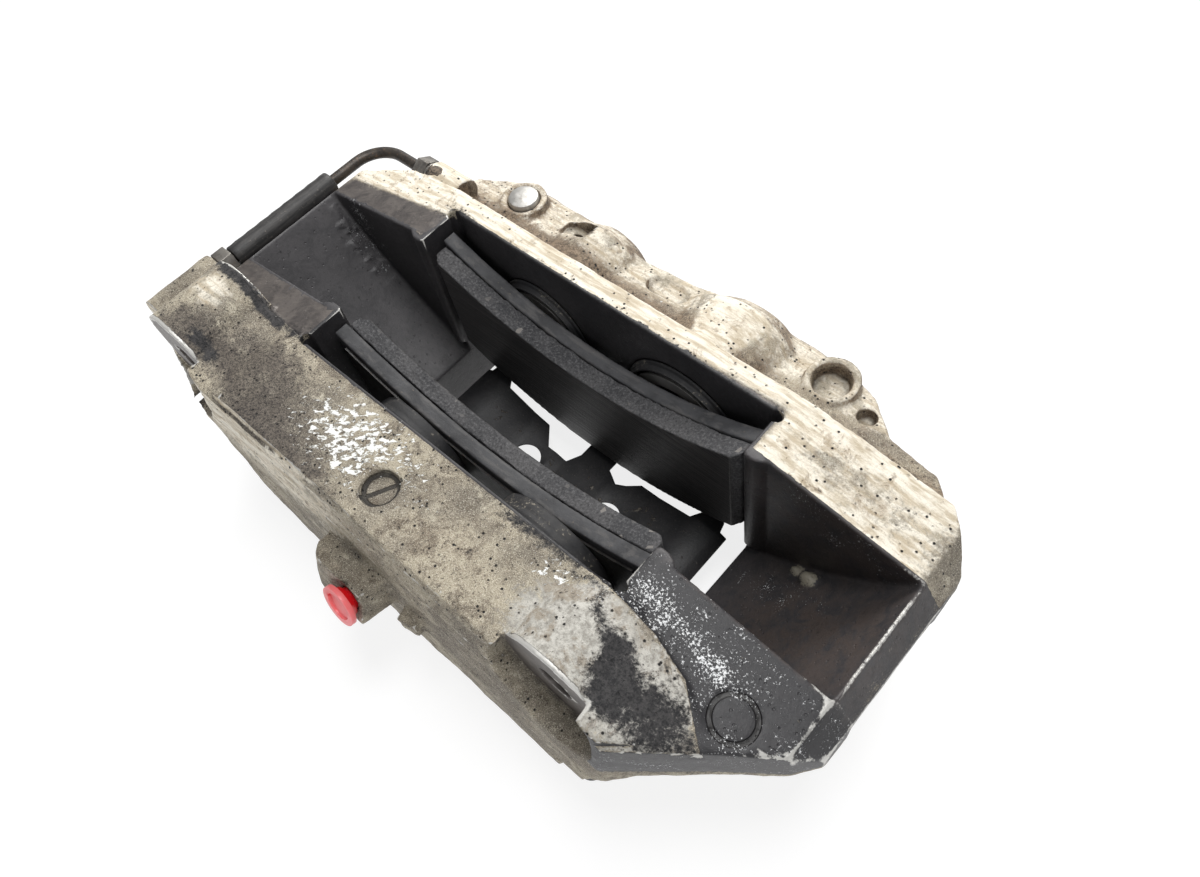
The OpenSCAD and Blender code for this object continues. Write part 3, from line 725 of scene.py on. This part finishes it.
def rounded_profile(points, radius, steps=4):
    """A closed profile with each corner rounded by an arc of at most radius."""
    rounded = []
    for i, corner in enumerate(points):
        before, after = Vector(points[i - 1]), Vector(points[(i + 1) % len(points)])
        corner = Vector(corner)
        to_before, to_after = before - corner, after - corner
        reach = min(radius, to_before.length * 0.45, to_after.length * 0.45)
        start = corner + to_before.normalized() * reach
        end = corner + to_after.normalized() * reach
        for k in range(steps + 1):
            t = k / steps
            point = start * (1 - t) ** 2 + corner * 2 * t * (1 - t) + end * t * t
            rounded.append((point.x, point.y))
    return rounded


# ---- the casting ----

BODY_VOXEL = 0.8
BODY_FACES = 190000
EDGE_SOFT = 0.8
LUG_RING = 20
CORNER_REACH = 4
RIDGE_PITCH = 11

# spots: share, then x, y and the two radii; strips: share, start, end and half width
# black deposits, with painted shade on the flank and in the valley beside the lug 2 hump
NEAR_SOOT_AND_SHADE_SPOTS = (
    (0.65, 101, -59, 13, 9),
    (1.0, -106, -62, 4, 3),
    (1.0, -99, -64, 3.5, 3),
    (0.42, -60, -80, 40, 7),
)
NEAR_SOOT_AND_SHADE_STRIPS = (
    (0.6, (76, -47), (88, -52), 5),
    (1.0, (89, -52), (93, -64), 9),
    (0.5, (20, -39), (74, -41), 6),
)
FAR_SOOT_STRIPS = ((0.9, (-76, 37.5), (76, 37.5), 3.2), (0.5, (-76, 36), (-40, 27), 9))
LEFT_SOOT_STRIPS = ((1.1, (-134, -35), (-92, -38), 4), (0.6, (-92, -38), (-70, -38), 3))
GRIME_SPOTS = (
    (0.8, -78, -56, 34, 15),
    (0.75, -50, -72, 34, 10),
    (0.6, -112, -64, 18, 9),
    (0.3, 20, -80, 60, 6),
)
PAD_SPECKS = ((0.6, 84, -36, 20, 9), (0.9, 113, -37, 8, 4))
HOLLOW_SPECKS = ((0.6, -124, 19, 14, 5), (0.25, 100, 10, 26, 10))
FLAKE_SPOTS = ((1.0, -24, -54, 32, 15), (0.75, 57, -46, 8, 4), (0.6, 29, -77, 20, 4))
SILVER_SPOTS = ((0.75, 66, -58, 18, 14), (0.85, 98, -61, 26, 17))
# two lumps on the floor of the trough
CRUMBS = ((105, 17.5), (99, 19.5))
# x and y along the line between the cast deck and the machined inboard ends
PAD_EDGE_X = (-143, -POCKET_X, 60, 76, 92, 106, 118, 150)
PAD_EDGE_Y = (-33, -38, -38, -40, -41, -45, -55, -80)


def pad_edge_y(x):
    """The line between the cast deck and the machined inboard ends, as y at each x."""
    return np.interp(x, PAD_EDGE_X, PAD_EDGE_Y)


def spot(p, x, y, rx, ry):
    """A round or oval patch seen from above: 1 at its middle, fading out beyond rx and ry."""
    return np.exp(-(((p[:, 0] - x) / rx) ** 2 + ((p[:, 1] - y) / ry) ** 2) ** 1.5)


def strip(p, start, end, half):
    """A band from start to end, seen from above: 1 on the line, 0 at half to either side."""
    start, end = np.array(start, float), np.array(end, float)
    along = end - start
    t = np.clip(((p[:, :2] - start) @ along) / (along @ along), 0, 1)
    away = np.linalg.norm(p[:, :2] - start - t[:, None] * along, axis=1)
    return smooth_step(-away, -half, 0)


def spots(p, patches):
    """The sum of several spots, each weighted by its share."""
    return sum(share * spot(p, *place) for share, *place in patches)


def strips(p, bands):
    """The sum of several strips, each weighted by its share."""
    return sum(share * strip(p, *band) for share, *band in bands)


def lug_masks(x, y, z):
    """The spot-faced ring round each lug hole, and the worn edge round that ring."""
    ring, edge = np.zeros(len(x)), np.zeros(len(x))
    face = inside(y, LUG_FACE_Y - 1, LUG_FACE_Y + 1, EDGE_SOFT)
    brim = inside(y, LUG_FACE_Y - 4, LUG_FACE_Y + 1, 1)
    for lug_x in LUG_X:
        away = np.hypot(x - lug_x, z - LUG_Z)
        ring = np.maximum(ring, face * smooth_step(-away, -LUG_RING - 0.8, -LUG_RING))
        edge = np.maximum(edge, brim * inside(away, LUG_RING - 0.4, LUG_RING + 2, EDGE_SOFT))
    return ring, edge


def hollow_masks(p, n):
    """The trough of the disc, and with it the whole hollow that the black film lines."""
    x, y, z = p.T
    end_wall = smooth_step(np.abs(x), 138, 142) * smooth_step(n[:, 0] * np.sign(x), 0.75, 0.9)
    outside = np.maximum(end_wall, smooth_step(-n[:, 2], 0.3, 0.6))
    trough = inside(y, -TROUGH_Y - 0.6, TROUGH_Y + 0.6, EDGE_SOFT) * (1 - 0.75 * outside)

    def box(reach):
        along = inside(x, -POCKET_X - reach, POCKET_X + reach, EDGE_SOFT)
        return along * inside(y, -POCKET_Y - reach, POCKET_Y + reach, EDGE_SOFT)

    below_deck = smooth_step(-z, 2, 4)
    return trough, np.maximum(np.maximum(trough, box(0.8)), box(CORNER_REACH) * below_deck)


def body_masks(p, n):
    """How far each point belongs to each kind of surface, painted highlight and painted shade, from 0 to 1."""
    x, y, z = p.T
    up = smooth_step(n[:, 2], 0.25, 0.6)
    left, right = smooth_step(-x, 60, 66), smooth_step(x, 52, 58)
    trough, hollow = hollow_masks(p, n)
    lug_ring, lug_edge = lug_masks(x, y, z)

    # the inboard half
    edge = pad_edge_y(x)
    near_top = up * smooth_step(edge - y, -1.0, 1.0) * smooth_step(z, -24, -18)
    near_pad = up * smooth_step(y - edge, -0.5, 0.8) * smooth_step(-y, TROUGH_Y - 1.5, TROUGH_Y)
    hump = near_top * smooth_step(z, 0.5, 4) * right
    ring_wall = right * (1 - up) * smooth_step(x, 84, 100) * smooth_step(z, -40, -20)
    ring_wall = ring_wall * smooth_step(-y, -36, -24)
    near_wall = smooth_step(-n[:, 1], 0.5, 0.8) * smooth_step(-y, 50, 58)
    bare_top = (1 - hollow) * smooth_step(z, -24, -14)

    # the outboard half
    far_side = smooth_step(y, RIM_Y - 1, RIM_Y + 1)
    far_top = up * smooth_step(y, TROUGH_Y - 0.5, TROUGH_Y + 0.5) * smooth_step(z, -14, -10)
    far_right = smooth_step(x, 74, 80)
    rim = np.maximum(far_top * smooth_step(y - 0.04 * x, 34, 42), 0.85 * far_top * far_right)
    rim = rim * (1 - 0.4 * spot(p, 108, 34, 24, 9))
    ledge = up * far_side * smooth_step(z, -36, -30)

    # black deposits, and painted shade on the flank and in the valley beside the lug 2 hump
    near_soot_and_shade = strips(p, NEAR_SOOT_AND_SHADE_STRIPS) + spots(p, NEAR_SOOT_AND_SHADE_SPOTS)
    soot_and_shade = near_top * (near_soot_and_shade + 0.45 * smooth_step(x, 92, 112))
    soot_and_shade += far_top * strips(p, FAR_SOOT_STRIPS) + bare_top * strips(p, LEFT_SOOT_STRIPS)
    # dirt spots on the near deck and the end wall, and painted shade on faces turned downwards
    grime_and_underside_shade = near_top * spots(p, GRIME_SPOTS) + 0.55 * smooth_step(-n[:, 2], -0.1, 0.5) + 0.45 * ring_wall
    # painted shadow: the ledge beside the rim wall and the far faces tilted from straight up are browned as if
    # shaded; the rest of the brown is stain
    shadow_under_rim = 0.7 * smooth_step(-y, -58, -50) + 0.45 * smooth_step(-n[:, 2], -0.95, -0.5)
    brown = far_side * (shadow_under_rim + 0.15 + 0.25 * ledge)
    brown += far_top * 0.4 * (far_right + smooth_step(-x, 74, 80) * smooth_step(-y, -44, -36))
    brown += 0.3 * near_top * spot(p, 20, -60, 50, 16)
    brown += far_side * up * (0.5 * spot(p, -15, 54, 62, 9) + 0.6 * smooth_step(-x, 45, 75))
    specks = near_pad * right * (0.42 + spots(p, PAD_SPECKS)) + 0.4 * near_top * spot(p, 60, -44, 18, 7)
    specks += 0.3 * ring_wall + hollow * spots(p, HOLLOW_SPECKS)
    # painted highlight: the far rim, the up-facing ledge, a patch on lug 1 and the near wall are lightened as if
    # lit; the rim is also pale itself
    bright = 0.95 * rim + 0.55 * far_side * smooth_step(y, 54, 66) * smooth_step(n[:, 2], 0.2, 0.8)
    bright += 0.6 * near_top * spot(p, -118, -46, 14, 9)
    bright += 0.7 * near_wall * smooth_step(-x, -40, 60) * smooth_step(z, -60, -20)
    machined_far = far_top * (1 - rim) * (0.9 - 0.5 * smooth_step(x, 70, 90))
    masks = {
        "film": hollow + near_pad * right + 0.9 * ring_wall,
        "machined": lug_ring + near_pad * left + machined_far,
        "specks": specks,
        "flakes": near_top * spots(p, FLAKE_SPOTS) * (1 - spot(p, *SLOT_MARK, 8, 8)),
        # bare metal patches, and a painted highlight on the hump crests
        "silver_and_crest_highlight": 0.5 * hump + near_top * (spots(p, SILVER_SPOTS) + 1.3 * strip(p, (97, -46), (111, -52), 5)),
        "grime_and_underside_shade": grime_and_underside_shade,
        "brown": brown,
        "soot_and_shade": soot_and_shade,
        "bright": bright,
        "marks": up * smooth_step(-y, 30, 36),
        "warm": trough * (0.05 + 0.3 * smooth_step(x, 70, 90) + 0.45 * spot(p, 118, -2, 26, 18)),
        "dust": trough * (0.35 + 0.4 * smooth_step(-x, 70, 90)) * smooth_step(n[:, 2], 0.0, 0.5),
        "crumbs": trough * (spot(p, *CRUMBS[0], 3.4, 3) + spot(p, *CRUMBS[1], 2.3, 2.2)),
        "side": smooth_step(np.abs(n[:, 1]), 0.5, 0.8) * smooth_step(np.abs(y), 50, 58),
    }
    masks = {name: np.clip(values, 0, 1) for name, values in masks.items()}
    masks["lug_edge"] = lug_edge
    return masks


def cast_relief(p, n, masks):
    """How far the rough skin lies below the CAD surface, in millimetres."""
    cast = 1 - np.clip(masks["machined"] + masks["film"], 0, 1)
    skin = 0.5 + rough_noise(p, 9, 5, 3)
    depth = cast * np.clip(skin, 0, 1) * 0.6
    depth += (1 - cast) * 0.06 * (0.5 + rough_noise(p, 4, 2, 9))
    # long parting ridges near the top of the inboard side
    wave = (p[:, 2] + 0.05 * p[:, 0] + 6 * rough_noise(p, 60, 3, 21)) / RIDGE_PITCH
    ridge = (wave - np.floor(wave)) ** 2
    band = smooth_step(-p[:, 1], 0, 1) * smooth_step(p[:, 2], -42, -14)
    depth += masks["side"] * cast * ridge * 0.8 * band
    # crust and casting lumps standing on the film
    grit = smooth_step(rough_noise(p, 3, 3, 51), 0.05, 0.3)
    floor = masks["film"] * smooth_step(n[:, 2], 0.3, 0.6)
    lumps = 3.2 * spot(p, *CRUMBS[0], 3, 2.6) + 2 * spot(p, *CRUMBS[1], 2, 1.8)
    lumps += 0.9 * grit * spot(p, -126, 18, 12, 5)
    return depth - lumps * floor


def make_body():
    obj = remeshed("caliper_body", "caliper_casting", BODY_VOXEL)
    mesh = obj.data
    points = points_of(mesh)
    masks = body_masks(points, normals_of(mesh))
    sharp = np.clip(masks["machined"] + masks["film"] + masks["lug_edge"], 0, 1)
    points = relaxed(mesh, points, 0.45 * (1 - 0.8 * sharp), 5)
    put_points(mesh, points)
    normals = normals_of(mesh)
    put_points(mesh, points - normals * cast_relief(points, normals, masks)[:, None])
    thin = obj.modifiers.new("thin", "DECIMATE")
    thin.ratio = min(1.0, BODY_FACES / (2 * len(mesh.polygons)))
    obj = applied(obj)
    mesh = obj.data
    points, normals = points_of(mesh), normals_of(mesh)
    masks = body_masks(points, normals)
    bulge = turn_of(mesh, points, normals, 4)
    sunk = turn_of(mesh, points, normals, 10)
    # worn edges and painted edge highlights on convex edges, strongest at the right end
    rubbed = 1 - 0.75 * masks["film"] * (1 - masks["specks"])
    end_edge = 0.35 * smooth_step(points[:, 0], 128, 134) * masks["film"]
    wear_and_edge_highlight = (bulge * (2.2 + end_edge) - 0.15) * rubbed + 0.55 * masks.pop("lug_edge")
    masks["wear_and_edge_highlight"] = np.clip(wear_and_edge_highlight + end_edge * (bulge > 0.1), 0, 1)
    # painted shade in creases and corners, from how far each point lies sunk
    masks["crevice_shade"] = smooth_step(-sunk, 0.2, 0.9)
    for name, values in masks.items():
        store(mesh, name, values)
    finish_piece(obj, cast_alloy(), "caliper", "caliper_body")


def turn_of(mesh, points, normals, rounds):
    """How far each point stands out, in millimetres: above 0 on an edge, below 0 in a corner."""
    flat = relaxed(mesh, points, np.full(len(points), 0.5), rounds)
    return np.einsum("ij,ij->i", points - flat, normals)


# ---- pads ----

PAD_VOXEL = 0.8


def make_pads():
    block, plate = friction_block(), painted_plate()
    for side, sign in SIDES.items():
        body = f"{side}_pad"
        node = f"friction_pad_{side}"
        low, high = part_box(node)
        obj = remeshed(node, f"friction_block_{side}", PAD_VOXEL)
        points = points_of(obj.data)
        points = relaxed(obj.data, points, np.full(len(points), 0.5), 1)
        normals = normals_of(obj.data)
        face_y = ((low.y if sign > 0 else high.y) - MIDDLE.y) / MM
        at_face = smooth_step(-np.abs(points[:, 1] - face_y), -0.9, -0.5)
        face = at_face * smooth_step(-normals[:, 1] * sign, 0.8, 0.95)
        pits = 0.5 * rough_noise(points, 3.2, 3, 31 + sign) + rough_noise(points, 17, 2, 61 + sign)
        depth = (1 - face) * (0.35 + pits)
        put_points(obj.data, points - normals * np.clip(depth, 0, 1)[:, None], low, high)
        store(obj.data, "face", face)
        finish_piece(obj, block, body, node)

        node = f"backing_plate_{side}"
        low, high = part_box(node)
        obj = remeshed(node, f"pad_plate_{side}", PAD_VOXEL)
        points = points_of(obj.data)
        points = relaxed(obj.data, points, np.full(len(points), 0.5), 2)
        normals = normals_of(obj.data)
        depth = 0.08 + 0.14 * rough_noise(points, 7, 3, 41 + sign)
        put_points(obj.data, points - normals * np.clip(depth, 0, 1)[:, None], low, high)
        finish_piece(obj, plate, body, node)


# ---- boots, sleeve and plug ----

# the bead of a dust boot, measured out from the piston
BEAD_OUT = 3.4
BEAD_IN = 2.2
BEAD_DEPTH = 0.6
BOOT_WALL = 0.9
# a boot pressed shorter than this has one fold
ONE_FOLD_LENGTH = 5
SLEEVE_BORE = 2.45
SLEEVE_STATIONS = 24


def bellows(radius, length, folds):
    """Profile of a dust boot: a bead in the casting, folds, and a lip on the piston."""
    outer = [(radius + BEAD_OUT, 0.4), (radius + BEAD_OUT, -BEAD_DEPTH)]
    inner = [(radius + BEAD_IN, 0.4)]
    for i in range(folds):
        t = (i + 1) / (folds + 0.5)
        crest = radius + 2.9 - 1.2 * t
        valley = radius + 1.2 - 0.5 * t
        start = -BEAD_DEPTH - (length - 1.6) * i / folds
        pitch = (length - 1.6) / folds
        outer += [(crest, start - 0.3 * pitch), (valley + BOOT_WALL, start - 0.9 * pitch)]
        inner += [(crest - BOOT_WALL, start - 0.3 * pitch), (valley, start - 0.9 * pitch)]
    outer += [(radius + 1.4, -length + 0.6), (radius + 1.4, -length + 0.1)]
    inner += [(radius + 0.35, -length + 0.1)]
    return rounded_profile(outer + inner[::-1], 0.6, 3)


def make_boots():
    skin = rubber("dusty_boot_rubber", srgb(30, 30, 32), srgb(46, 45, 45), 0.8)
    for side, sign in SIDES.items():
        for end in ENDS:
            piston = f"piston_{side}_{end}"
            low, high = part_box(piston)
            middle = (low + high) / 2
            radius = (high.x - low.x) / 2 / MM
            nose = high.y if sign < 0 else low.y
            wall_y = MIDDLE.y + sign * POCKET_Y * MM
            length = abs(wall_y - nose) / MM - 0.1
            at = Vector((middle.x, wall_y, middle.z))
            folds = 1 if length < ONE_FOLD_LENGTH else 3
            profile = bellows(radius, length, folds)
            obj = turned(f"dust_boot_{side}_{end}", profile, at, (0, sign, 0))
            finish_piece(obj, skin, None, f"boot_{side}_{end}")
            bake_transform(obj)


def make_sleeve():
    low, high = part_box("pipe_sleeve")
    middle = (low + high) / 2
    radius = (high.x - low.x) / 2 / MM
    half = (high.y - low.y) / 2 / MM
    outline = [(SLEEVE_BORE, -half), (radius - 0.5, -half)]
    # shallow waves where the rubber has been squeezed
    for i in range(SLEEVE_STATIONS + 1):
        y = -half + 0.4 + (2 * half - 0.8) * i / SLEEVE_STATIONS
        outline.append((radius - 0.12 - 0.1 * math.sin(i * 2.1), y))
    outline += [(radius - 0.5, half), (SLEEVE_BORE, half)]
    obj = turned("pipe_sleeve_scuffed", outline, middle, (0, 1, 0), 64)
    finish_piece(obj, scuffed_sleeve(), "caliper", "pipe_sleeve")


def bevelled(node, name, width, material, body):
    """A copy of a CAD node with its edges broken."""
    obj = welded_copy(node, name)
    modifier = obj.modifiers.new("edges", "BEVEL")
    modifier.width = width * MM
    modifier.segments = 2
    modifier.limit_method = "ANGLE"
    modifier.angle_limit = math.radians(35)
    obj = applied(obj)
    finish_piece(obj, material, body, node)
    obj.data.set_sharp_from_angle(angle=math.radians(50))
    return obj


def make_plug():
    obj = bevelled("transport_plug", "hose_port_plug", 0.35, red_plastic(), "plug")
    points = points_of(obj.data)
    low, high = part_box("transport_plug")
    middle = (np.array((low + high) / 2) - np.array(MIDDLE)) / MM
    joint = next(j for j in frame["joints"] if j["name"] == "plug_pull")
    axis = np.array(joint["axis"])
    along = (points - middle) @ axis
    away = np.linalg.norm((points - middle) - along[:, None] * axis, axis=1)
    store(obj.data, "rim", smooth_step(away, 5.2, 5.6) * smooth_step(along, 2, 3))


def make_small_parts():
    steel = worn_steel("plated_steel", srgb(96, 92, 88), srgb(140, 136, 130), 0.5)
    bevelled("flare_nut_inboard", "pipe_nut_inboard", 0.25, steel, "caliper")
    bevelled("flare_nut_outboard", "pipe_nut_outboard", 0.25, steel, "caliper")
    bolt = worn_steel("bolt_steel", srgb(84, 82, 80), srgb(120, 118, 114), 0.6)
    bevelled("cross_bolt", "window_bolt", 0.3, bolt, "caliper")
    plug = worn_steel("bright_plug", srgb(166, 164, 160), srgb(204, 202, 198), 0.3, 0.75)
    bevelled("passage_plug", "ledge_plug", 0.25, plug, "caliper")
    brass = worn_steel("yellow_plate", srgb(150, 138, 96), srgb(176, 166, 124), 0.4)
    cap = rubber("cap_rubber", srgb(26, 26, 28), srgb(40, 40, 41), 0.2)
    for side in SIDES:
        bevelled(f"bleed_screw_{side}", f"bleeder_{side}", 0.15, brass, f"{side}_bleed_screw")
        bevelled(f"bleed_cap_{side}", f"bleeder_cap_{side}", 0.3, cap, f"{side}_bleed_cap")
    bevelled("pad_spring", "pad_spring_stamped", 0.2, stamped_steel(), "caliper")


def dress_cad_nodes():
    """CAD nodes whose shape is already right get a better material."""
    pipe = worn_steel("pipe_coating", srgb(44, 41, 40), srgb(72, 66, 60), 0.7, 0.4)
    ring = rubber("seal_rubber", srgb(20, 20, 21), srgb(30, 30, 31), 0.0)
    shim = worn_steel("shim_coating", srgb(50, 49, 48), srgb(74, 72, 70), 0.4, 0.3)
    looks = {"crossover_pipe": (pipe, "pipe_steel")}
    for side in SIDES:
        looks[f"shim_{side}"] = (shim, "shim_steel")
        for end in ENDS:
            looks[f"piston_{side}_{end}"] = (anodised(), "piston_metal")
            looks[f"seal_{side}_{end}"] = (ring, "seal_rubber")
    for node, (material, slot) in looks.items():
        obj = frame["nodes"][node]
        obj.data.materials.clear()
        obj.data.materials.append(material)


make_camera()
make_floor()
make_light()
make_body()
make_pads()
make_boots()
make_sleeve()
make_plug()
make_small_parts()
dress_cad_nodes()
